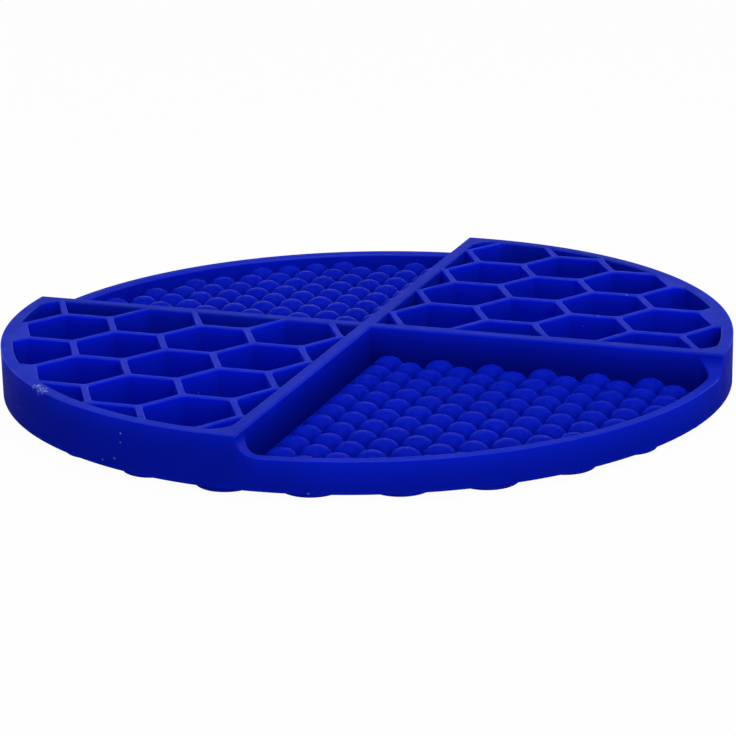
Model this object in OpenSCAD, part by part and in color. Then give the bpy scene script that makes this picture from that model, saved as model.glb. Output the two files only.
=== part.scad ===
// Round silicone lick mat.
// One floor disc carries a cross of divider walls, two tall quadrants of honeycomb cells
// and two lower quadrants of round bubbles. Rings of suction cups hang under the floor.
// Origin: centre of the mat, on the plane of the suction cups' lips. +Z is up, millimetres.

/* [Mat] */
// Outside diameter of the mat
mat_d = 200; // [190:1:220]
// Thickness of the floor disc
floor_t = 2.3; // [1.6:0.1:4]
// Radius of the floor disc's lower edge
floor_edge_r = 0.5; // [0.3:0.1:1.4]
// Height of the tall rims, dividers and honeycomb above the floor
tall_h = 11.5; // [9:0.5:18]
// Height of the low rims above the floor
low_h = 6.3; // [5:0.1:8]
// Thickness of the rims
rim_t = 3.3; // [2.4:0.1:5]
// Radius of the tall rims' outer top edge
rim_edge_r = 0.3; // [0.2:0.1:1.2]
// Thickness of the divider walls
divider_t = 3.8; // [2.4:0.1:6]
// Flat land that a low rim's climb keeps at its top, beside the divider
climb_land = 0.2; // [0.1:0.05:0.6]

/* [Honeycomb] */
// Width of a cell across its flats
cell_w = 22; // [18:0.5:26]
// Thickness of the walls between cells
cell_wall = 1.78; // [1.2:0.02:3]
// Place of the first column of cells along X, from the mat's centre
cell_start_x = -4; // [-6:0.1:0]
// Place of the first row of cells along Y, from the mat's centre
cell_start_y = 1.5; // [0:0.1:6]
// Radius of a honeycomb field's two corners at the rim
cell_corner_r = 6; // [3:0.5:9]
// Thickness of the border that a honeycomb's walls end on, out of the rim's own thickness
cell_border = 0.4; // [0.3:0.1:1]
// A cell centred further than this past the rim's inner face is left solid
cell_skip = 8; // [6:0.5:10]

/* [Bubbles] */
// Thickness of the pad that the bubbles stand on
pad_t = 0.6; // [0.4:0.1:1.5]
// Diameter of a bubble's foot
bubble_d = 8.4; // [7:0.1:8.5]
// Height of a bubble's straight foot over the pad
bubble_foot = 1.2; // [0.4:0.1:1.6]
// Height of a bubble's round crown over its foot
bubble_h = 2.8; // [1.5:0.1:3.2]
// Distance between the columns of bubbles, along X
bubble_pitch_x = 7.3; // [7.2:0.02:9]
// Distance between the bubbles of a column, along Y
bubble_pitch_y = 8.9; // [8.8:0.02:10]
// Distance from a divider's face to the first column's centres in the front quadrant
front_start_x = 6.3; // [4.5:0.1:9]
// Distance from a divider's face to the first column's centres in the back quadrant
back_start_x = 7.4; // [4.5:0.1:9]
// Distance from a divider's face to the first row's centres
bubble_start_y = 3.8; // [3.5:0.1:8]
// How far a bubble may run past the rim's inner face, which trims it, before it is left out
bubble_tuck = 2.6; // [0:0.1:3]
// Radius of a bubble field's two corners at the rim
pad_corner_r = 4; // [3:0.5:8]

/* [Suction cups] */
// Diameter of a cup's lip
cup_d = 16.2; // [12:0.2:18]
// Height of a cup under the floor disc
cup_h = 1.9; // [1.6:0.1:5]
// Diameter of a cup where it leaves the floor disc
cup_neck_d = 13.4; // [9:0.2:14]
// Thickness of a cup's lip at its edge
cup_lip_t = 0.5; // [0.3:0.1:0.8]
// Width of the flat ring that a lip rests on
cup_lip_w = 0.7; // [0.4:0.1:1.2]
// Depth of the hollow inside a cup
cup_hollow = 1.5; // [0.8:0.1:1.5]
// Distance from the mat's edge to the outer ring's lips
cup_inset = 1.9; // [1:0.1:6]
// Distance from one ring of cups to the next
cup_ring_pitch = 22.6; // [18:0.1:24]
// Distance between the cups of a ring, before it is rounded to a whole number of cups
cup_pitch = 21.6; // [18.5:0.1:26]
// Angle of each ring's first cup, in degrees
cup_turn = 4; // [0:0.1:10]

/* [Hidden] */
silicone = [0.06, 0.13, 0.66];
silicone_light = [0.12, 0.22, 0.74];
silicone_deep = [0.03, 0.08, 0.55];
// Overrun of every cut, so that no two faces of a cut lie in one plane
over = 1;
// Facets of a full circle
$fn = 120;
mat_r = mat_d / 2;
field_r = mat_r - rim_t;
half_div = divider_t / 2;
floor_z = cup_h + floor_t;
step_r = tall_h - low_h;
border_r = field_r + cell_border;
cell_pitch = cell_w + cell_wall;
cell_column = cell_pitch * sqrt(3) / 2;
cell_columns = ceil(mat_r / cell_column) + 1;
cell_rows = ceil(mat_r / cell_pitch) + 1;
bubble_r = bubble_d / 2;
bubble_ball_r = (bubble_r * bubble_r + bubble_h * bubble_h) / (2 * bubble_h);
bubble_columns = ceil(mat_r / bubble_pitch_x);
bubble_rows = ceil(mat_r / bubble_pitch_y);
// A bubble's foot starts this far under the pad's top, so that it grows out of the pad
bubble_root = pad_t / 4;
cup_r = cup_d / 2;
cup_mouth_r = cup_r - cup_lip_w;
cup_ball_r = (cup_mouth_r * cup_mouth_r + cup_hollow * cup_hollow) / (2 * cup_hollow);
cup_ring_r = mat_r - cup_inset - cup_r;

// Plan of the first quadrant between two divider faces, out to a radius
module quarter_plan(radius) {
    intersection() {
        circle(r = radius);
        translate([half_div, half_div]) square(mat_d);
    }
}

// What a rounded corner takes off a quarter plan, beyond the corner circle's tangent points
module corner_offcut(along, up, corner_r) {
    tip_share = (field_r + over) / (field_r - corner_r);
    polygon([
        [along, up],
        [along, half_div - over],
        [field_r + over, half_div - over],
        [along * tip_share, up * tip_share]
    ]);
}

// Plan of the inside of a quadrant: sharp at the mat's centre, rounded at its two rim corners
module field_plan(corner_r) {
    up = half_div + corner_r;
    along = sqrt(pow(field_r - corner_r, 2) - up * up);
    difference() {
        quarter_plan(field_r);
        corner_offcut(along, up, corner_r);
        mirror([1, -1]) corner_offcut(along, up, corner_r);
    }
    translate([along, up]) circle(r = corner_r);
    translate([up, along]) circle(r = corner_r);
}

// Plan of a quarter of the rim, with the rounded corners on its inside
module rim_plan(corner_r) {
    difference() {
        quarter_plan(mat_r);
        field_plan(corner_r);
    }
}

// Disc with a rounded upper edge, from z = 0 up
module rounded_disc(radius, height, edge_r) {
    rotate_extrude() {
        square([radius - edge_r, height]);
        square([radius, height - edge_r]);
        translate([radius - edge_r, height - edge_r])
            intersection() {
                circle(r = edge_r);
                square(edge_r);
            }
    }
}

// Floor: a plain disc with a rounded lower edge
module floor_disc() {
    color(silicone)
        translate([0, 0, floor_z])
        mirror([0, 0, 1])
        rounded_disc(mat_r, floor_t, floor_edge_r);
}

// Two divider walls that cross at the centre and run out through the rim
module divider_cross() {
    color(silicone_light)
        translate([0, 0, floor_z])
        intersection() {
            rounded_disc(mat_r, tall_h, rim_edge_r);
            linear_extrude(tall_h) {
                translate([-mat_r, -half_div]) square([mat_d, divider_t]);
                translate([-half_div, -mat_r]) square([divider_t, mat_d]);
            }
        }
}

// Tall rim of one honeycomb quadrant, outside the honeycomb's border
module rim_tall() {
    color(silicone)
        translate([0, 0, floor_z])
        intersection() {
            rounded_disc(mat_r, tall_h, rim_edge_r);
            linear_extrude(tall_h)
                difference() {
                    quarter_plan(mat_r);
                    circle(r = border_r);
                }
        }
}

// What is cut away above a low rim: flat over its length, and rounded up to the dividers' top
module trench() {
    foot = half_div + climb_land + step_r;
    translate([foot, foot, low_h]) cube([mat_r, mat_r, tall_h]);
    translate([0, 0, tall_h]) {
        translate([foot, 0, 0])
            rotate([-90, 0, 0])
            cylinder(r = step_r, h = mat_r + over);
        translate([0, foot, 0])
            rotate([0, 90, 0])
            cylinder(r = step_r, h = mat_r + over);
    }
}

// Low rim of one bubble quadrant, which climbs to the tall dividers at both ends
module rim_low() {
    color(silicone)
        translate([0, 0, floor_z])
        difference() {
            linear_extrude(tall_h) rim_plan(pad_corner_r);
            trench();
        }
}

// Plan of one honeycomb cell
module cell_plan() {
    circle(r = cell_w / sqrt(3), $fn = 6);
}

// Centre of the cell in one column and row of the staggered lattice
function cell_centre(column, row) = [
    cell_start_x + column * cell_column,
    cell_start_y + (row + (column % 2) / 2) * cell_pitch
];

// Plan of the cells of one quadrant; those that would be mere slivers at the rim are left out
module cells_plan() {
    for (column = [0 : cell_columns])
        for (row = [0 : cell_rows])
            if (norm(cell_centre(column, row)) < field_r + cell_skip)
                translate(cell_centre(column, row)) cell_plan();
}

// Honeycomb walls of one quadrant with their border, which rounds the field's two rim corners
module honeycomb() {
    color(silicone_light)
        translate([0, 0, floor_z])
        linear_extrude(tall_h)
        difference() {
            quarter_plan(border_r);
            intersection() {
                field_plan(cell_corner_r);
                cells_plan();
            }
        }
}

// One bubble, a ball trimmed to its straight foot, with the pad's top at z = 0
module bubble() {
    intersection() {
        translate([0, 0, bubble_foot + bubble_h - bubble_ball_r]) sphere(r = bubble_ball_r);
        translate([0, 0, -bubble_root])
            cylinder(r = bubble_r, h = bubble_root + bubble_foot + bubble_h + over);
    }
}

// Centre of the bubble in one column and row of the staggered lattice
function bubble_centre(start_x, column, row) = [
    half_div + start_x + column * bubble_pitch_x,
    half_div + bubble_start_y + (row + (column % 2) / 2) * bubble_pitch_y
];

// Bubbles of one quadrant, as far as the rim
module bubble_lattice(start_x) {
    for (column = [0 : bubble_columns])
        for (row = [0 : bubble_rows])
            if (norm(bubble_centre(start_x, column, row)) < field_r - bubble_r + bubble_tuck)
                translate(bubble_centre(start_x, column, row)) bubble();
}

// Pad of one bubble quadrant with its bubbles, trimmed by the divider and the rim
module bubbles(start_x) {
    color(silicone_deep)
        translate([0, 0, floor_z]) {
            linear_extrude(pad_t) field_plan(pad_corner_r);
            intersection() {
                linear_extrude(low_h) field_plan(pad_corner_r);
                translate([0, 0, pad_t]) bubble_lattice(start_x);
            }
        }
}

// One suction cup: a flared skirt with a flat lip and a shallow round hollow
module cup() {
    difference() {
        rotate_extrude()
            polygon([
                [0, 0],
                [cup_r, 0],
                [cup_r, cup_lip_t],
                [cup_neck_d / 2, cup_h],
                [0, cup_h]
            ]);
        translate([0, 0, cup_hollow - cup_ball_r]) sphere(r = cup_ball_r);
    }
}

// Ring of cups, counted inwards from the outer ring
module cup_ring(index) {
    ring_r = cup_ring_r - index * cup_ring_pitch;
    count = max(3, round(2 * PI * ring_r / cup_pitch));
    color(silicone_deep)
        for (number = [0 : count - 1])
            rotate([0, 0, cup_turn + number * 360 / count])
                translate([ring_r, 0, 0]) cup();
}

// Innermost ring of cups with the one at the mat's centre
module cups_inner() {
    cup_ring(3);
    color(silicone_deep) cup();
}

floor_disc();
divider_cross();
rim_tall();  // rim_tall_right
rotate([0, 0, 180]) rim_tall();  // rim_tall_left
mirror([0, 1, 0]) rim_low();  // rim_low_front
mirror([1, 0, 0]) rim_low();  // rim_low_back
honeycomb();  // honeycomb_right
rotate([0, 0, 180]) honeycomb();  // honeycomb_left
mirror([0, 1, 0]) bubbles(front_start_x);  // bubbles_front
mirror([1, 0, 0]) bubbles(back_start_x);  // bubbles_back
cup_ring(0);  // cups_outer
cup_ring(1);  // cups_second
cup_ring(2);  // cups_third
cups_inner();
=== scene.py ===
import random
from math import asin, atan2, cos, hypot, pi, radians, sin, sqrt, tan

import bmesh
import bpy
from mathutils import Matrix, Vector


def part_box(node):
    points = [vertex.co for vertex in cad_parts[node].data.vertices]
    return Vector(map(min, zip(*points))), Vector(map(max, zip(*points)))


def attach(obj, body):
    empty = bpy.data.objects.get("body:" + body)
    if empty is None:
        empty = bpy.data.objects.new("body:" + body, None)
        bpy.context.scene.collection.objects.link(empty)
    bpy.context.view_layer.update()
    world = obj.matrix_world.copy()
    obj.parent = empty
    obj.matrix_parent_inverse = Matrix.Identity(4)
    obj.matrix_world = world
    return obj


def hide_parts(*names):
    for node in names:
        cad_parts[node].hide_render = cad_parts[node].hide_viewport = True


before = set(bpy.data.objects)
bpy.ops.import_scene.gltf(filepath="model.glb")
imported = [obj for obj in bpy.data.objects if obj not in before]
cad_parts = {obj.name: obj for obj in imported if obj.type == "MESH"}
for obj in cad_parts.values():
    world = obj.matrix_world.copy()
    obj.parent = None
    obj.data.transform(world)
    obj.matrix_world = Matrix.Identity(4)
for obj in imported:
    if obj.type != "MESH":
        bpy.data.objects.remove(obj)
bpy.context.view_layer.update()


# Floor: the plain disc that carries the rest of the mat and is moulded in one with it, from deep
# blue silicone rubber: satin, a little see-through, with fine grain, dust and one pale scuff.
# Its upper skin belongs to the walls and pads that grow out of it, so no seam shows.
METRE = 0.001   # sizes below are in millimetres
SKIN = 0.8
FLOOR_EDGE_R = 0.3
FLOOR_EDGE_STEPS = 5
SIDE_STEPS = 288
DIVIDER_T = 3.8
CLIMB_FOOT = 7.3   # where the low rims' climbs end, from the dividers' centre lines
WELD = 0.001
TOUCH = 0.01
FLAT_ANGLE = radians(34)
mat_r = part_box("floor_disc")[1].x / METRE
floor_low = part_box("floor_disc")[0].z / METRE
floor_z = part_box("floor_disc")[1].z / METRE
base_z = floor_z - SKIN
half_div = DIVIDER_T / 2

SILICONE_IOR = 1.42
BLUE_TINT = (0.004, 0.022, 1)
SHEEN_TINT = (0.8, 0.95, 1, 1)
GLOW_TINT = (0.08, 0.25, 1)
# painted sheen: the paler blue painted on the walls' faces that look up
PAINTED_SHEEN_BLUE = (0.006, 0.020, 0.48, 1)
DUST_WHITE = (0.40, 0.46, 0.75, 1)
GRAIN_SIZE = 0.35
GRAIN_STRENGTH = 0.35
PATCH_SIZE = 6
PATCH_EDGES = (0.3, 0.7)
PATCH_ROUGHNESS = (-0.05, 0.06)
CLOUD_SIZE = 28
CLOUD_EDGES = (0.35, 0.65)
CLOUD_SHARE = 0.2
CLOUD_LEVEL = 0.2
DUST_SPACING = 16
DUST_R = (0.128, 0.224)
DUST_STRENGTH = 0.5
SCUFF_GRAIN = 0.5
SCUFF_EDGES = (0.50, 0.60)
SCUFF_STRENGTH = 1.3
SCUFF = (((-62.4, -76.9, 15.7), 1.6), ((-60.2, -78.7, 15.6), 1.9), ((-58.4, -80.3, 15.4), 1.2))
SPECK_STRENGTH = 0.45
SPECKS = (((-72.6, -68.9, 6.6), 0.4), ((-30.5, -95.2, 11.8), 0.4), ((-30.7, -95.1, 9.4), 0.3),
          ((-32.9, -94.5, 4.8), 0.4), ((-36.9, -92.9, 3.6), 0.3), ((19.8, -98.0, 2.1), 0.4),
          ((59.1, 25.0, 15.7), 0.4), ((61.3, 48.4, 15.7), 0.4))
# how far a face must look up to take the painted sheen colour
LOOKS_UP = (0.2, 0.9)
SLANTS = (0.08, 0.25)
SEEN_FLAT = (0.6, 0.8)
CLIMB_DULL = (6, 8)
CLIMB_SHEEN = 0.15
WALL_ROUGHNESS = 0.42
WALL_GRAIN = 0.02
WALL_SHEEN = (0.003, 0.2, 0.010, 0)
WALL_GLOW = (0.5, 2.4)
# painted shade of the floor: one level all over, as dark as the walls' feet
FLOOR_PAINTED_LIGHT = (1, 0.40, 0.40)


class Finish:
    """A finish of the moulding's silicone, with the few kinds of node that its patterns need."""

    def __init__(self, name):
        self.material = bpy.data.materials.new(name)
        self.material.use_nodes = True
        self.nodes = self.material.node_tree.nodes
        self.shader = self.nodes["Principled BSDF"]
        self.place = self.node("TexCoord").outputs["Object"]

    def link(self, source, socket):
        """Leads one node's result to another's socket."""
        self.material.node_tree.links.new(source, socket)

    def node(self, kind, *sources):
        """A new node, with its first sockets fed."""
        node = self.nodes.new("ShaderNode" + kind)
        for source, socket in zip(sources, node.inputs[:]):
            self.link(source, socket)
        return node

    def noise(self, size, detail):
        """Soft noise with lumps of about one size."""
        node = self.node("TexNoise", self.place)
        node.inputs["Scale"].default_value = 1 / (size * METRE)
        node.inputs["Detail"].default_value = detail
        return node.outputs["Fac"]

    def spread(self, value, *limits):
        """Maps a range, low and high, to another range, and stops at its ends."""
        node = self.node("MapRange", value)
        for name, limit in zip(("From Min", "From Max", "To Min", "To Max"), limits):
            node.inputs[name].default_value = limit
        return node.outputs["Result"]

    def blend(self, share, first, second):
        """Mixes two colours, each a plain one or another node's."""
        node = self.node("Mix", share)
        node.data_type = "RGBA"
        for socket, colour in ((node.inputs[6], first), (node.inputs[7], second)):
            if isinstance(colour, tuple):
                socket.default_value = colour
            else:
                self.link(colour, socket)
        return node.outputs[2]

    def join(self, operation, first, second):
        """One number from two."""
        node = self.node("Math", first, second)
        node.operation = operation
        return node.outputs[0]

    def near(self, spot, reach, strength):
        """A number that falls from its strength at a spot to nothing at its reach."""
        node = self.node("VectorMath", self.place)
        node.operation = "DISTANCE"
        node.inputs[1].default_value = [part * METRE for part in spot]
        return self.spread(node.outputs["Value"], 0, reach * METRE, strength, 0)


def blue(level):
    """The moulding's own blue at a level of its pigment."""
    return (*(part * level for part in BLUE_TINT), 1)


def shaded(finish, height, from_divider, upwards, edges, light, crown):
    """The blue of each spot, with painted light and shade: lighter towards a wall's top edge
    and darker further down. The edges are that edge's heights at the dividers and past the
    climbs. The light is the painted light's reach down from there, and the pigment's level below
    that and at the edge. The crown is the colour painted on faces that look up, as painted sheen."""
    reach_down, low_level, top_level = light
    edge = finish.spread(from_divider, half_div * METRE, CLIMB_FOOT * METRE,
                         edges[0] * METRE, edges[1] * METRE)
    # painted light and shade: lighter up to the wall's top edge, darker below
    lit = finish.spread(finish.join("SUBTRACT", edge, height), 0, reach_down * METRE, 1, 0)
    colour = finish.blend(finish.join("MULTIPLY", lit, lit), blue(low_level), blue(top_level))
    # painted sheen and light on faces that look up
    colour = finish.blend(finish.spread(upwards, *LOOKS_UP, 0, 1), colour, crown)
    clouds = finish.spread(finish.noise(CLOUD_SIZE, 2), *CLOUD_EDGES, 0, CLOUD_SHARE)
    return finish.blend(clouds, colour, blue(CLOUD_LEVEL))


def marked(finish, colour):
    """A colour with scattered dust, the scuff and a few single specks on it."""
    dust = finish.node("TexVoronoi", finish.place)
    dust.inputs["Scale"].default_value = 1 / (DUST_SPACING * METRE)
    marks = finish.spread(dust.outputs["Distance"], DUST_R[0] / DUST_SPACING,
                          DUST_R[1] / DUST_SPACING, DUST_STRENGTH, 0)
    ragged = finish.spread(finish.noise(SCUFF_GRAIN, 2), *SCUFF_EDGES, 0, 1)
    for spot, reach in SCUFF:
        scuffed = finish.join("MULTIPLY", finish.near(spot, reach, SCUFF_STRENGTH), ragged)
        marks = finish.join("MAXIMUM", marks, scuffed)
    for spot, reach in SPECKS:
        marks = finish.join("MAXIMUM", marks, finish.near(spot, reach, SPECK_STRENGTH))
    return finish.blend(marks, colour, DUST_WHITE)


def shine(finish, from_divider, upwards, sheen):
    """How much each spot shines, on upright, slanting and level faces and at the outline. The
    slanting faces of the climbs are duller."""
    upright, slanting, level, outline = sheen
    slant = finish.join("MULTIPLY", upwards, finish.spread(upwards, 0, 1, 1, 0))
    climb = [reach * METRE for reach in CLIMB_DULL]
    slant = finish.join("MULTIPLY", finish.spread(slant, *SLANTS, 0, slanting),
                        finish.spread(from_divider, *climb, CLIMB_SHEEN, 1))
    total = finish.join("ADD", finish.spread(upwards, 0, 1, upright, level), slant)
    side_on = finish.node("LayerWeight").outputs["Facing"]
    return finish.join("ADD", total, finish.spread(side_on, *SEEN_FLAT, 0, outline))


def silicone(name, roughness, grain_depth, sheen, glow, edges, light, crown):
    """Blue silicone in the moulding's own coordinates. The glow is the share of the light that
    soaks in, and how deep it goes."""
    finish = Finish(name)
    shader = finish.shader
    shader.inputs["IOR"].default_value = SILICONE_IOR
    shader.inputs["Specular Tint"].default_value = SHEEN_TINT
    shader.inputs["Subsurface Weight"].default_value = glow[0]
    shader.inputs["Subsurface Radius"].default_value = GLOW_TINT
    shader.inputs["Subsurface Scale"].default_value = glow[1] * METRE

    at = finish.node("SeparateXYZ", finish.place).outputs
    from_divider = finish.join("MINIMUM", *(finish.join("ABSOLUTE", at[axis], at[axis]) for axis in "XY"))
    normal = finish.node("NewGeometry").outputs["Normal"]
    upwards = finish.node("SeparateXYZ", normal).outputs["Z"]
    colour = shaded(finish, at["Z"], from_divider, upwards, edges, light, crown)
    patches = [roughness + change for change in PATCH_ROUGHNESS]
    grain = finish.node("Bump")
    grain.inputs["Strength"].default_value = GRAIN_STRENGTH
    grain.inputs["Distance"].default_value = grain_depth * METRE
    finish.link(finish.noise(GRAIN_SIZE, 3), grain.inputs["Height"])
    finish.link(marked(finish, colour), shader.inputs["Base Color"])
    finish.link(finish.spread(finish.noise(PATCH_SIZE, 3), *PATCH_EDGES, *patches),
                shader.inputs["Roughness"])
    finish.link(shine(finish, from_divider, upwards, sheen), shader.inputs["Specular IOR Level"])
    finish.link(grain.outputs["Normal"], shader.inputs["Normal"])
    return finish.material


def wall_silicone(name, edges, light):
    """The satin silicone of the floor, dividers and rims, each copy with its own painted light and shade.
    """
    return silicone(name, WALL_ROUGHNESS, WALL_GRAIN, WALL_SHEEN, WALL_GLOW, edges, light, PAINTED_SHEEN_BLUE)


def put(bm, name, material, slot, *nodes):
    """Makes the finished mesh a piece of the mat that stands for its CAD nodes."""
    bmesh.ops.remove_doubles(bm, verts=bm.verts, dist=WELD / 2)
    bmesh.ops.recalc_face_normals(bm, faces=bm.faces)
    for face in bm.faces:
        face.smooth = True
    for edge in bm.edges:
        edge.smooth = edge.calc_face_angle(pi) < FLAT_ANGLE
    bmesh.ops.scale(bm, verts=bm.verts, vec=(METRE, METRE, METRE))
    mesh = bpy.data.meshes.new(name)
    bm.to_mesh(mesh)
    bm.free()
    piece = bpy.data.objects.new(name, mesh)
    bpy.context.scene.collection.objects.link(piece)
    mesh.materials.append(material)
    even = piece.modifiers.new("even_shading", "WEIGHTED_NORMAL")
    even.keep_sharp = True
    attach(piece, "root")
    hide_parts(*nodes)
    return piece


def whole(bm):
    """Everything in a shape."""
    return bm.verts[:] + bm.edges[:] + bm.faces[:]


def verts_of(geom):
    """The corners among what an operator gives back."""
    return [part for part in geom if isinstance(part, bmesh.types.BMVert)]


def raise_face(bm, face, height):
    """Extrudes a face straight up into a closed solid."""
    grown = bmesh.ops.extrude_face_region(bm, geom=[face], use_keep_orig=True)["geom"]
    bmesh.ops.translate(bm, verts=verts_of(grown), vec=(0, 0, height))


def round_edges(bm, edges, radius, steps):
    """Rounds edges off."""
    bmesh.ops.bevel(bm, geom=edges, offset=radius, segments=steps, profile=0.5,
                    affect="EDGES", material=-1)


floor = bmesh.new()
bmesh.ops.create_circle(floor, cap_ends=True, segments=SIDE_STEPS, radius=mat_r,
                        matrix=Matrix.Translation((0, 0, floor_low)))
raise_face(floor, floor.faces[:][0], base_z - floor_low)
lower_edge = [e for e in floor.edges if all(v.co.z < floor_low + TOUCH for v in e.verts)]
round_edges(floor, lower_edge, FLOOR_EDGE_R, FLOOR_EDGE_STEPS)
put(floor, "floor", wall_silicone("silicone_floor", (floor_z, floor_z), FLOOR_PAINTED_LIGHT), "silicone",
    "floor_disc")


# Dividers: two walls of the same moulding that cross at the centre. Their faces over the bubble
# quadrants are open and round off at the top; over the honeycomb they run into its walls.
TOP_EDGE_R = 0.6
TOP_EDGE_STEPS = 4
POCKET_CORNER_R = 4
RIM_T = 3.3
# painted light and shade of the dividers: lighter at the top edge, darker down in the pockets
DIVIDER_PAINTED_LIGHT = (9, 0.28, 0.72)
tall_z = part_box("divider_cross")[1].z / METRE
field_r = mat_r - RIM_T
pocket_near = half_div + POCKET_CORNER_R
pocket_far = sqrt((field_r - POCKET_CORNER_R) ** 2 - pocket_near ** 2)
seam = half_div - SKIN
seam_r = field_r + SKIN


def wire(bm, points, closed=False):
    """Joins points by edges, in their order, and gives the corners."""
    corners = [bm.verts.new(p) for p in points]
    for one, next_one in zip(corners, corners[1:]):
        bm.edges.new((one, next_one))
    if closed:
        bm.edges.new((corners[-1], corners[0]))
    return corners


def over_pocket(edge):
    """Whether a divider's top edge looks over a bubble quadrant."""
    ends = [v.co for v in edge.verts]
    level = min(c.z for c in ends) > tall_z - TOUCH
    on_face = any(all(abs(abs(c[axis]) - half_div) < WELD for c in ends) for axis in (0, 1))
    return level and on_face and (ends[0] - ends[1]).length > POCKET_CORNER_R


dividers = bmesh.new()
wire(dividers, [(half_div, -half_div, base_z), (pocket_far, -half_div, base_z),
                (pocket_far, -seam, base_z), (seam_r, -seam, base_z),
                (seam_r, seam, base_z), (seam, seam, base_z),
                (seam, seam_r, base_z), (-seam, seam_r, base_z),
                (-seam, pocket_far, base_z), (-half_div, pocket_far, base_z),
                (-half_div, half_div, base_z)])
bmesh.ops.spin(dividers, geom=whole(dividers), cent=(0, 0, 0), axis=(0, 0, 1), angle=pi, steps=1,
               use_duplicate=True)
bmesh.ops.remove_doubles(dividers, verts=dividers.verts, dist=WELD)
plan = bmesh.ops.contextual_create(dividers, geom=dividers.edges[:])["faces"][0]
raise_face(dividers, plan, tall_z - base_z)
round_edges(dividers, [e for e in dividers.edges if over_pocket(e)], TOP_EDGE_R, TOP_EDGE_STEPS)
divider_silicone = wall_silicone("silicone_dividers", (tall_z, tall_z), DIVIDER_PAINTED_LIGHT)
put(dividers, "dividers", divider_silicone, "silicone", "divider_cross")


# Tall rims: the outer walls of the two honeycomb quadrants, moulded with the floor. Their outer top
# edge is rounded, and at both ends they close the dividers off.
TALL_EDGE_R = 0.3
EDGE_STEPS = 4
TALL_RIM_STEPS = 76
OVERSHOOT = radians(2.5)
# painted light of the tall rims: lighter towards the top edge, darker towards the floor
TALL_PAINTED_LIGHT = (8, 0.37, 0.57)


def turned_copy(bm):
    """The same moulded shape, half a turn round the mat."""
    copy = bm.copy()
    bmesh.ops.rotate(copy, verts=copy.verts, cent=(0, 0, 0), matrix=Matrix.Rotation(pi, 3, "Z"))
    return copy


def edges_of(geom):
    """The edges among what an operator gives back."""
    return [part for part in geom if isinstance(part, bmesh.types.BMEdge)]


def trim(bm, point, outward):
    """Cuts off what lies past a plane, and gives the edges of the cut."""
    return edges_of(bmesh.ops.bisect_plane(bm, geom=whole(bm), dist=WELD / 10, plane_co=point,
                                           plane_no=outward, clear_outer=True)["geom_cut"])


tall_rim = bmesh.new()
section = wire(tall_rim, [(seam_r, 0, base_z), (mat_r, 0, base_z),
                          (mat_r, 0, tall_z), (seam_r, 0, tall_z)], closed=True)
bmesh.ops.rotate(tall_rim, verts=section, cent=(0, 0, 0), matrix=Matrix.Rotation(-OVERSHOOT, 3, "Z"))
bmesh.ops.spin(tall_rim, geom=whole(tall_rim), cent=(0, 0, 0), axis=(0, 0, 1),
               angle=pi / 2 + 2 * OVERSHOOT, steps=TALL_RIM_STEPS)
top_edge = [e for e in tall_rim.edges if all(v.co.z > tall_z - TOUCH for v in e.verts)
            and all(hypot(v.co.x, v.co.y) > mat_r - TOUCH for v in e.verts)]
round_edges(tall_rim, top_edge, TALL_EDGE_R, EDGE_STEPS)
for corner, outward in (((0, -seam, 0), (0, -1, 0)), ((-seam, 0, 0), (-1, 0, 0))):
    bmesh.ops.edgeloop_fill(tall_rim, edges=trim(tall_rim, corner, outward))
rim_silicone = wall_silicone("silicone_tall_rim", (tall_z, tall_z), TALL_PAINTED_LIGHT)
put(turned_copy(tall_rim), "tall_rim_left", rim_silicone, "silicone", "rim_tall_left")
put(tall_rim, "tall_rim_right", rim_silicone, "silicone", "rim_tall_right")


# Low rims: the outer walls of the two bubble quadrants, of the same silicone. At both ends each
# climbs to the dividers' height in a hollow round, longer than the pocket's own corner round.
LOW_RIM_Z = 10.5
CLIMB_STEPS = 14
CREASE_R = 1.0
PAST_CLIMB_SHARE = 1.2
LOW_EIGHTH_STEPS = 33
# painted light and shade of the low rims, and the lighter painted light of the back rim's inside
LOW_PAINTED_LIGHT = (8, 0.39, 0.59)
BACK_PAINTED_LIGHT = (6, 0.53, 0.68)
LOOKS_IN = -0.3
climb_start = tall_z - TOP_EDGE_R


def rim_section(along, inner, outer, top, soften):
    """Points of the low rim's section on one line across it, from inside to outside."""
    points = [(inner, base_z), (inner, top - soften)]
    for step in range(1, EDGE_STEPS + 1):
        turn = pi / 2 * step / EDGE_STEPS
        points.append((inner + soften * (1 - cos(turn)), top - soften * (1 - sin(turn))))
    for step in range(EDGE_STEPS + 1):
        turn = pi / 2 * step / EDGE_STEPS
        points.append((outer - TALL_EDGE_R * (1 - sin(turn)), top - TALL_EDGE_R * (1 - cos(turn))))
    points.append((outer, base_z))
    return [along(reach, z) for reach, z in points]


def square_to_divider(x):
    """A line across the rim, parallel to the divider, at a distance from the centre line."""
    return lambda reach, z: (x, -reach, z)


def square_to_rim(angle):
    """A line across the rim, at an angle from the divider."""
    return lambda reach, z: (reach * sin(angle), -reach * cos(angle), z)


def pocket_reach(x):
    """How far out the pocket goes at a distance from the divider's centre line."""
    if x <= half_div:
        return pocket_far
    if x < pocket_near:
        return pocket_far + sqrt(POCKET_CORNER_R ** 2 - (pocket_near - x) ** 2)
    return min(pocket_far + POCKET_CORNER_R, sqrt(field_r ** 2 - x ** 2))


def draw_through(bm, edges, sections):
    """Draws a section's edges on through further sections, and moves their corners there."""
    for section in sections:
        drawn = bmesh.ops.extrude_edge_only(bm, edges=edges)["geom"]
        edges = [e for e in edges_of(drawn) if all(v in drawn for v in e.verts)]
        for corner, point in zip(verts_of(drawn), section):
            corner.co = point


def line_inside(rim, material):
    """Gives the faces that look into the pocket a copy of the silicone with other painted light and
    shade.
    """
    rim.data.materials.append(material)
    for face in rim.data.polygons:
        if face.normal.to_2d().dot(face.center.to_2d().normalized()) < LOOKS_IN:
            face.material_index = 1


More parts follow.
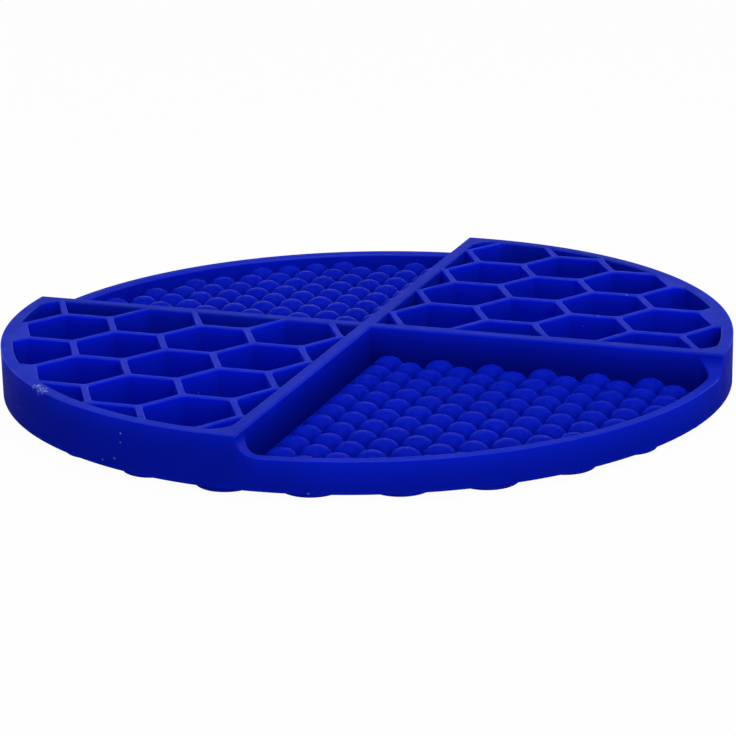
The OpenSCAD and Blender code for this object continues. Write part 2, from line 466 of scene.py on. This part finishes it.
stations = [(seam, tall_z, 0), (half_div - TOP_EDGE_R, tall_z, 0)]
for step in range(1, TOP_EDGE_STEPS + 1):
    turn = pi / 2 * step / TOP_EDGE_STEPS
    stations.append((half_div - TOP_EDGE_R * (1 - sin(turn)), tall_z - TOP_EDGE_R * (1 - cos(turn)), 0))
for step in range(1, CLIMB_STEPS + 1):
    turn = pi / 2 * step / CLIMB_STEPS
    stations.append((CLIMB_FOOT - (CLIMB_FOOT - half_div) * cos(turn),
                     climb_start - (climb_start - LOW_RIM_Z) * sin(turn), CREASE_R * sin(turn)))
sections = [rim_section(square_to_divider(x), pocket_reach(x), sqrt(mat_r ** 2 - x ** 2), top, soften)
            for x, top, soften in stations]
first_angle = PAST_CLIMB_SHARE * asin(CLIMB_FOOT / field_r)
for step in range(LOW_EIGHTH_STEPS + 1):
    angle = first_angle + (pi / 4 - first_angle) * step / LOW_EIGHTH_STEPS
    sections.append(rim_section(square_to_rim(angle), field_r, mat_r, LOW_RIM_Z, CREASE_R))

low_rim = bmesh.new()
wire(low_rim, sections[0], closed=True)
bmesh.ops.edgeloop_fill(low_rim, edges=low_rim.edges[:])
draw_through(low_rim, low_rim.edges[:], sections[1:])
bmesh.ops.mirror(low_rim, geom=whole(low_rim), matrix=Matrix.Rotation(-pi / 4, 4, "Z"),
                 merge_dist=WELD, axis="X")
low_silicone = wall_silicone("silicone_low_rim", (tall_z, LOW_RIM_Z), LOW_PAINTED_LIGHT)
back_inside_painted_light = wall_silicone("silicone_back_rim_painted_light", (tall_z, LOW_RIM_Z), BACK_PAINTED_LIGHT)
low_rim_back = put(turned_copy(low_rim), "low_rim_back", low_silicone, "silicone", "rim_low_back")
# the back rim's inside: a lighter painted light
line_inside(low_rim_back, back_inside_painted_light)
low_rim_front = put(low_rim, "low_rim_front", low_silicone, "silicone", "rim_low_front")
# the front rim's inside: the dividers' painted shade, darker down in the pocket
line_inside(low_rim_front, divider_silicone)


# Honeycomb: hexagonal cells in the two tall quadrants, blind pockets of the one moulding.
# Their walls round off at the top, run into the rim at sharp corners and meet the floor in
# a small hollow round. The field's own two corners at the rim are rounded in plan.
CELL_W = 22
CELL_WALL = 1.78
CELL_START = (-4, 1.5)
CELL_COLUMNS = 7
CELL_ROWS = 6
CELL_SKIP = 8
CELL_CORNER_R = 1.5
CELL_EDGE_R = 0.5
CELL_FOOT_R = 0.55
FIELD_CORNER_R = 6
FIELD_CORNER_STEPS = 14
QUARTER_STEPS = 72
ROUND_STEPS = 3
LAST_TURN = radians(75)
CLEAR = 1.0
BRIM = 0.05
UNDERCUT = 0.02
CELL_SHEEN = (0.006, 0.1, 0.010, 0)
CELL_GLOW = (1, 6)
# painted light of the honeycomb's walls: a lighter blue than the rims, lightest at the top edge
CELL_PAINTED_LIGHT = (11.5, 0.45, 0.69)
cell_pitch = CELL_W + CELL_WALL
cell_column = cell_pitch * sqrt(3) / 2


def swing(bm, vert, centre, angle, steps):
    """Draws an arc from a corner, and gives its last corner."""
    return bmesh.ops.spin(bm, geom=[vert], cent=(*centre, vert.co.z), axis=(0, 0, 1),
                          angle=angle, steps=steps)["geom_last"][0]


def field_face(bm, corner_r, grow, z):
    """Face over the inside of the first quadrant, grown outwards by a little."""
    up = half_div + corner_r
    far = sqrt((field_r - corner_r) ** 2 - up ** 2)
    low = half_div - grow
    lean = atan2(up, far)
    start = bm.verts.new((far, low, z))
    on_rim = swing(bm, start, (far, up), pi / 2 + lean, FIELD_CORNER_STEPS)
    off_rim = swing(bm, on_rim, (0, 0), pi / 2 - 2 * lean, QUARTER_STEPS)
    end = swing(bm, off_rim, (up, far), pi / 2 + lean, FIELD_CORNER_STEPS)
    middle = bm.verts.new((low, low, z))
    bm.edges.new((end, middle))
    bm.edges.new((middle, start))
    return bmesh.ops.contextual_create(bm, geom=[e for e in bm.edges if e.is_wire])["faces"][0]


def pocket_profile(top, edge_r, bottom, foot_r):
    """(Growth, height) of a pocket's wall, from above its rounded top edge to its floor."""
    slope = cos(LAST_TURN) / sin(LAST_TURN)
    last = (edge_r * (1 - cos(LAST_TURN)), top - edge_r * (1 - sin(LAST_TURN)))
    brim = last[0] + (top + BRIM - last[1]) / slope
    profile = [(brim, top + CLEAR), (brim, top + BRIM)]
    for step in range(ROUND_STEPS + 1):
        turn = LAST_TURN * (1 - step / ROUND_STEPS)
        profile.append((edge_r * (1 - cos(turn)), top - edge_r * (1 - sin(turn))))
    for step in range(ROUND_STEPS + 1):
        turn = pi / 2 * step / ROUND_STEPS
        profile.append((-foot_r * (1 - cos(turn)), bottom + foot_r * (1 - sin(turn))))
    return profile


def sink(bm, face, profile):
    """Draws a face down along a profile."""
    if face.normal.z > 0:
        face.normal_flip()
    for (grow, z), (next_grow, next_z) in zip(profile, profile[1:]):
        bmesh.ops.inset_region(bm, faces=[face], thickness=grow - next_grow, depth=z - next_z,
                               use_boundary=True, use_even_offset=True)


def close(bm):
    """Caps every open outline."""
    bmesh.ops.holes_fill(bm, edges=[e for e in bm.edges if e.is_boundary])


def combined(first, second, operation):
    """Cuts the second shape from the first, joins them, or keeps what they have in common."""
    shapes = []
    for bm in (first, second):
        bmesh.ops.recalc_face_normals(bm, faces=bm.faces)
        mesh = bpy.data.meshes.new("blank")
        bm.to_mesh(mesh)
        bm.free()
        shapes.append(bpy.data.objects.new("blank", mesh))
        bpy.context.scene.collection.objects.link(shapes[-1])
    cut = shapes[0].modifiers.new("cut", "BOOLEAN")
    cut.operation, cut.solver, cut.object = operation, "EXACT", shapes[1]
    result = bmesh.new()
    result.from_object(shapes[0], bpy.context.evaluated_depsgraph_get())
    bmesh.ops.remove_doubles(result, verts=result.verts, dist=WELD)
    bmesh.ops.dissolve_degenerate(result, edges=result.edges, dist=WELD)
    for shape in shapes:
        bpy.data.meshes.remove(shape.data)
    return result


cell_profile = pocket_profile(tall_z, CELL_EDGE_R, floor_z, CELL_FOOT_R)
brim, brim_z = cell_profile[0]
cells = bmesh.new()
for column in range(CELL_COLUMNS):
    for row in range(CELL_ROWS):
        centre = Vector((CELL_START[0] + column * cell_column,
                         CELL_START[1] + (row + column % 2 / 2) * cell_pitch, brim_z))
        if centre.to_2d().length > field_r + CELL_SKIP:
            continue
        known = set(cells.faces)
        place = Matrix.Translation(centre) @ Matrix.Rotation(pi / 6, 4, "Z")
        corners = bmesh.ops.create_circle(cells, cap_ends=True, segments=6, matrix=place,
                                          radius=(CELL_W / 2 + brim) / cos(pi / 6))["verts"]
        bmesh.ops.bevel(cells, geom=corners, offset=(CELL_CORNER_R + brim) * tan(pi / 6),
                        segments=ROUND_STEPS, profile=0.5, affect="VERTICES", material=-1)
        sink(cells, next(f for f in cells.faces if f not in known), cell_profile)
close(cells)

field_profile = [(grow, z + CLEAR / 4 if z > tall_z + CLEAR / 2 else z) for grow, z in cell_profile]
field = bmesh.new()
sink(field, field_face(field, FIELD_CORNER_R, *field_profile[0]), field_profile)
close(field)
bmesh.ops.translate(field, verts=[v for v in field.verts if v.co.z < floor_z + WELD],
                    vec=(0, 0, -UNDERCUT))

honeycomb = bmesh.new()
bmesh.ops.create_circle(honeycomb, cap_ends=True, segments=SIDE_STEPS, radius=seam_r,
                        matrix=Matrix.Translation((0, 0, base_z)))
for outward in ((-1, 0, 0), (0, -1, 0)):
    trim(honeycomb, (seam, seam, 0), outward)
raise_face(honeycomb, honeycomb.faces[:][0], tall_z - base_z)
honeycomb = combined(honeycomb, combined(cells, field, "INTERSECT"), "DIFFERENCE")
cell_silicone = silicone("silicone_thin_walls", WALL_ROUGHNESS, WALL_GRAIN, CELL_SHEEN, CELL_GLOW,
                         (tall_z, tall_z), CELL_PAINTED_LIGHT, PAINTED_SHEEN_BLUE)
put(turned_copy(honeycomb), "honeycomb_walls_left", cell_silicone, "silicone", "honeycomb_left")
put(honeycomb, "honeycomb_walls_right", cell_silicone, "silicone", "honeycomb_right")


# Bubbles: the two low quadrants' pads, each covered with a lattice of round bubbles that grow
# into each other and leave a small pit where three meet. They are moulded with the floor, and
# the dividers and rims trim the outer ones. The back lattice starts further from its divider.
PAD_T = 0.6
BUBBLE_R = 4.55
BUBBLE_TOP = 4.45
BUBBLE_FULLNESS = 0.88
BUBBLE_PITCH = (7.3, 8.9)
BUBBLE_START_Y = 3.8
FRONT_START_X = 6.3
BACK_START_X = 7.4
BUBBLE_COLUMNS = 14
BUBBLE_ROWS = 12
BUBBLE_REACH = 1.6
BUBBLE_SIDE_STEPS = 3
BUBBLE_RINGS = 5
UNDER_WALL = 0.3
PAD_UNDER_WALL = 0.4
UNDER_PAD = 0.05
BUBBLE_ROUGHNESS = 0.28
SMOOTH_GRAIN = 0.012
BUBBLE_SHEEN = (0.006, 0, 0.006, 0.012)
BUBBLE_GLOW = (1, 4)
# painted light of the bubbles: lighter towards their tips, and a painted colour on faces that look up
BUBBLE_PAINTED_LIGHT = (4.4, 0.38, 0.50)
BUBBLE_CROWN = 0.45
pad_z = floor_z + PAD_T
bubble_z = floor_z + BUBBLE_TOP


def bubble_row(x, y):
    """Points down one bubble, from its tip to a point on the edge of its share of the lattice."""
    reach = hypot(x, y)
    last = asin(min(1, reach / BUBBLE_R) ** (1 / BUBBLE_FULLNESS))
    row = [(0, 0, bubble_z)]
    for ring in range(1, BUBBLE_RINGS + 1):
        lean = last * ring / BUBBLE_RINGS
        out = BUBBLE_R * sin(lean) ** BUBBLE_FULLNESS / reach
        rise = BUBBLE_TOP * max(0, cos(lean)) ** BUBBLE_FULLNESS
        row.append((x * out, y * out, max(floor_z + rise, pad_z - UNDER_PAD)))
    return row + [(x, y, row[-1][2])]


def bubble(bm):
    """One bubble over its own six-sided share of the lattice, which its neighbours' shares meet."""
    wide, long = BUBBLE_PITCH[0], BUBBLE_PITCH[1] / 2
    tip = (wide ** 2 + long ** 2) / (2 * wide)
    flank = tip - long ** 2 / wide
    share = [(tip, 0), (flank, -long), (-flank, -long), (-tip, 0), (-flank, long), (flank, long)]
    rows = []
    for start, end in zip(share, share[1:] + share[:1]):
        for step in range(BUBBLE_SIDE_STEPS):
            part = step / BUBBLE_SIDE_STEPS
            rows.append(bubble_row(*(a + (b - a) * part for a, b in zip(start, end))))
    wire(bm, rows[0])
    draw_through(bm, bm.edges[:], rows[1:] + rows[:1])


def bubble_field(start_x):
    """The pad and bubbles of the front quadrant, closed down to the floor."""
    bubbles = bmesh.new()
    bubble(bubbles)
    first = whole(bubbles)
    for column in range(BUBBLE_COLUMNS):
        for row in range(BUBBLE_ROWS):
            centre = (half_div + start_x + column * BUBBLE_PITCH[0],
                      half_div + BUBBLE_START_Y + (row + column % 2 / 2) * BUBBLE_PITCH[1], 0)
            if hypot(*centre) < field_r - BUBBLE_REACH:
                copy = bmesh.ops.duplicate(bubbles, geom=first)["geom"]
                bmesh.ops.translate(bubbles, vec=centre, verts=verts_of(copy))
    bmesh.ops.delete(bubbles, geom=verts_of(first), context="VERTS")
    bmesh.ops.remove_doubles(bubbles, verts=bubbles.verts, dist=2 * WELD)
    outline = [e for e in bubbles.edges if e.is_boundary]
    for corner in verts_of(bmesh.ops.extrude_edge_only(bubbles, edges=outline)["geom"]):
        corner.co.z = floor_z
    close(bubbles)
    prism = bmesh.new()
    raise_face(prism, field_face(prism, POCKET_CORNER_R, UNDER_WALL, base_z - CLEAR), LOW_RIM_Z - base_z)
    pad = bmesh.new()
    raise_face(pad, field_face(pad, POCKET_CORNER_R, PAD_UNDER_WALL, base_z), pad_z - base_z)
    field = combined(pad, combined(bubbles, prism, "INTERSECT"), "UNION")
    bmesh.ops.scale(field, verts=field.verts, vec=(1, -1, 1))
    return field


bubble_silicone = silicone("silicone_bubbles", BUBBLE_ROUGHNESS, SMOOTH_GRAIN, BUBBLE_SHEEN,
                           BUBBLE_GLOW, (bubble_z, bubble_z), BUBBLE_PAINTED_LIGHT, blue(BUBBLE_CROWN))
put(bubble_field(FRONT_START_X), "bubble_field_front", bubble_silicone, "silicone_bubbles",
    "bubbles_front")
put(turned_copy(bubble_field(BACK_START_X)), "bubble_field_back", bubble_silicone,
    "silicone_bubbles", "bubbles_back")


# Suction cups: soft skirts moulded under the floor in rings, with thin rounded lips and a
# shallow hollow inside. They hold the mat on a smooth surface, and droop a little unevenly.
CUP_R = 8.1
CUP_H = 1.9
CUP_HOLLOW = 1.5
CUP_NECK_R = 7.1
CUP_ROOT = 0.4
CUP_INSET = 1.9
CUP_RING_PITCH = 22.6
CUP_PITCH = 21.6
CUP_TURN = radians(4)
CUP_SIDES = 40
CUP_LIFT = (0.1, 0.4)
FRONT_LIFTS = {19: 0, 20: 0.3, 21: 0.35, 22: 0}   # by the outer cups' numbers, from +X
CUP_ROUGHNESS = 0.4
CUP_SHEEN = (0.003, 0.05, 0.01, 0)
CUP_GLOW = (1, 5)
# painted light of the cups: a lighter blue all over, where they sit in the mat's shade
CUP_PAINTED_LIGHT = (1, 0.62, 0.62)
CUP_CROWN = 0.5
hollow = [(0, CUP_HOLLOW), (2.6, CUP_HOLLOW - 0.12), (5.2, CUP_HOLLOW - 0.6), (6.9, 0.35), (7.25, 0.1)]
lip = [(7.4, 0), (7.6, 0), (7.8, 0.05), (7.97, 0.16), (8.07, 0.3), (CUP_R, 0.48)]
skirt = [(8.06, 0.7), (7.94, 0.95), (7.72, 1.25), (7.42, 1.55), (CUP_NECK_R, CUP_H + 0.02)]
root = [(CUP_NECK_R, CUP_H + CUP_ROOT), (0, CUP_H + CUP_ROOT)]
droop = random.Random(7)


def add_cup(bm, x, y, lift):
    """One cup under the floor, its lip lifted by a little."""
    known = set(bm.verts)
    corners = wire(bm, [(r, 0, z if z > CUP_H else z + lift * (1 - z / CUP_H))
                        for r, z in hollow + lip + skirt + root])
    edges = [e for e in bm.edges if e.verts[0] not in known]
    bmesh.ops.spin(bm, geom=corners + edges, cent=(0, 0, 0), axis=(0, 0, 1), angle=2 * pi,
                   steps=CUP_SIDES, use_merge=True)
    bmesh.ops.translate(bm, verts=[v for v in bm.verts if v not in known], vec=(x, y, 0))


cup_silicone = silicone("silicone_cups", CUP_ROUGHNESS, SMOOTH_GRAIN, CUP_SHEEN, CUP_GLOW,
                        (CUP_H, CUP_H), CUP_PAINTED_LIGHT, blue(CUP_CROWN))
for index, ring in enumerate(("outer", "second", "third", "inner")):
    cups = bmesh.new()
    ring_r = mat_r - CUP_INSET - CUP_R - index * CUP_RING_PITCH
    count = round(2 * pi * ring_r / CUP_PITCH)
    for number in range(count):
        angle = CUP_TURN + number * 2 * pi / count
        lift = droop.uniform(*CUP_LIFT)
        if ring == "outer":
            lift = FRONT_LIFTS.get(number, lift)
        add_cup(cups, ring_r * cos(angle), ring_r * sin(angle), lift)
    if ring == "inner":
        add_cup(cups, 0, 0, 0)
    bmesh.ops.remove_doubles(cups, verts=cups.verts, dist=WELD)
    put(cups, "suction_cups_" + ring, cup_silicone, "silicone_cups", "cups_" + ring)


# Studio: a plain pale floor that keeps the mat's shadow, soft lamps, and a white surround
# where the camera and the reflections look past the mat.
FLOOR_SIZE = 12
PALE = (0.68, 0.68, 0.68, 1)
PAPER_ROUGHNESS = 0.9
PAPER_WHITE = 0.97
WHITE = (1, 1, 1, 1)
AMBIENT = 0.22
LENS = 125.384
SENSOR_W = 36
VIEW_END = 40
CAMERA_PLACE = (0.231049, -0.637341, 0.211962)
CAMERA_TURN = (72.86485, 1.07771, 19.58322)
LAMPS = {"overhead_lamp": ((0.15, -0.15, 1.4), 1.0, 13.8),   # place, size and power
         "front_lamp": ((0.75, -1.05, 0.4), 0.8, 6.3)}

ground = bmesh.new()
bmesh.ops.create_grid(ground, x_segments=1, y_segments=1, size=FLOOR_SIZE)
mesh = bpy.data.meshes.new("studio_floor")
ground.to_mesh(mesh)
ground.free()
studio_floor = bpy.data.objects.new("studio_floor", mesh)
bpy.context.scene.collection.objects.link(studio_floor)
paper = bpy.data.materials.new("studio_paper")
paper.use_nodes = True
nodes, links = paper.node_tree.nodes, paper.node_tree.links
nodes["Principled BSDF"].inputs["Base Color"].default_value = PALE
nodes["Principled BSDF"].inputs["Roughness"].default_value = PAPER_ROUGHNESS
glow = nodes.new("ShaderNodeEmission")
share = nodes.new("ShaderNodeMixShader")
path = nodes.new("ShaderNodeLightPath")
seen = nodes.new("ShaderNodeMath")
seen.operation = "MULTIPLY"
seen.inputs[1].default_value = PAPER_WHITE
links.new(path.outputs["Is Camera Ray"], seen.inputs[0])
links.new(seen.outputs[0], share.inputs["Fac"])
links.new(nodes["Principled BSDF"].outputs[0], share.inputs[1])
links.new(glow.outputs[0], share.inputs[2])
links.new(share.outputs[0], nodes["Material Output"].inputs["Surface"])
mesh.materials.append(paper)

world = bpy.data.worlds.new("studio_surround")
bpy.context.scene.world = world
world.use_nodes = True
nodes, links = world.node_tree.nodes, world.node_tree.links
ambient = nodes["Background"]
ambient.inputs["Color"].default_value = WHITE
ambient.inputs["Strength"].default_value = AMBIENT
white = nodes.new("ShaderNodeBackground")
white.inputs["Color"].default_value = WHITE
path = nodes.new("ShaderNodeLightPath")
looked_at = path.outputs["Is Camera Ray"]
for ray in ("Is Glossy Ray", "Is Transmission Ray"):
    either = nodes.new("ShaderNodeMath")
    either.operation = "MAXIMUM"
    links.new(looked_at, either.inputs[0])
    links.new(path.outputs[ray], either.inputs[1])
    looked_at = either.outputs[0]
share = nodes.new("ShaderNodeMixShader")
links.new(looked_at, share.inputs["Fac"])
links.new(ambient.outputs[0], share.inputs[1])
links.new(white.outputs[0], share.inputs[2])
links.new(share.outputs[0], nodes["World Output"].inputs["Surface"])

for name, (place, size, power) in LAMPS.items():
    lamp = bpy.data.lights.new(name, "AREA")
    lamp.size, lamp.energy = size, power
    softbox = bpy.data.objects.new(name, lamp)
    bpy.context.scene.collection.objects.link(softbox)
    softbox.location = place
    softbox.rotation_euler = (-Vector(place)).to_track_quat("-Z", "Y").to_euler()

lens = bpy.data.cameras.new("camera")
lens.lens, lens.sensor_width, lens.clip_end = LENS, SENSOR_W, VIEW_END
camera = bpy.data.objects.new("camera", lens)
bpy.context.scene.collection.objects.link(camera)
camera.location = CAMERA_PLACE
camera.rotation_euler = [radians(turn) for turn in CAMERA_TURN]
bpy.context.scene.camera = camera
bpy.context.scene.view_settings.view_transform = "Standard"
